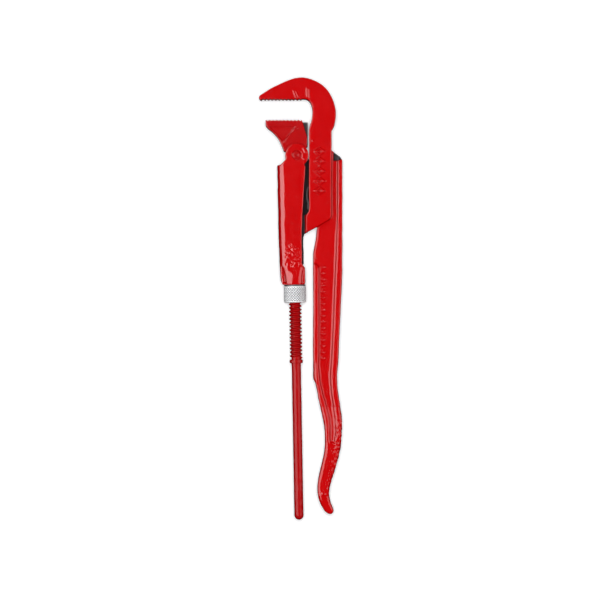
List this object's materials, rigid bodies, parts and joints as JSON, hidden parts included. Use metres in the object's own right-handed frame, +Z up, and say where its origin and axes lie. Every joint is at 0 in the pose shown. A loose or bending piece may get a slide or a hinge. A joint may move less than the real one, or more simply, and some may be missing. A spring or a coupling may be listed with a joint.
{
  "type": "pipe wrench",
  "caption": "Corner pipe wrench of the Swedish pattern: fixed hook jaw on an I-beam handle, pivoting lower jaw in a sleeve moved by a knurled nut on a threaded leg.",
  "frame": {"origin": "on the surface the wrench lies on, under the middle of its overall box", "axes": "+Y along the wrench towards the jaws, +X across the legs towards the back of the handle, +Z up through its thickness"},
  "size_m": [0.0812, 0.4298, 0.0218],
  "materials": {
    "red_paint": "glossy enamel over a rough forging",
    "zinc_nut": "bright zinc plating",
    "dark_steel": "dark oiled steel"
  },
  "bodies": {
    "hook_leg": {"hook_leg": "red_paint", "leaf_spring": "dark_steel", "spring_rivet": "dark_steel"},
    "threaded_leg": {"threaded_leg": "red_paint", "leg_pivot_pin": "dark_steel", "thread_stop_ring": "red_paint"},
    "jaw_sleeve": {"jaw_sleeve": "red_paint", "jaw_rivet": "red_paint", "thrust_washer": "dark_steel", "nut_retaining_ring": "dark_steel"},
    "adjusting_nut": {"adjusting_nut": "zinc_nut"},
    "lower_jaw": {"lower_jaw": "red_paint"}
  },
  "joints": [
    {"name": "leg_swing", "type": "hinge", "parent": "hook_leg", "child": "threaded_leg", "pos_m": [-0.00672, 0.07383, 0.0109], "axis": [0, 0, 1], "range_deg": [0, 2.6]},
    {"name": "jaw_slide", "type": "slide", "parent": "threaded_leg", "child": "jaw_sleeve", "axis": [-0.018, 0.9998, 0], "range_m": [-0.036, 0.018]},
    {"name": "nut_spin", "type": "hinge", "parent": "jaw_sleeve", "child": "adjusting_nut", "pos_m": [-0.00547, 0.00449, 0.0109], "axis": [-0.018, 0.9998, 0], "range_deg": [-3600, 1800]},
    {"name": "jaw_tilt", "type": "hinge", "parent": "jaw_sleeve", "child": "lower_jaw", "pos_m": [-0.00369, 0.13929, 0.0109], "axis": [0, 0, 1], "range_deg": [0, 8]}
  ],
  "couplings": [
    {"joint": "jaw_slide", "follows": "nut_spin", "m_per_rad": 0.00057296}
  ]
}
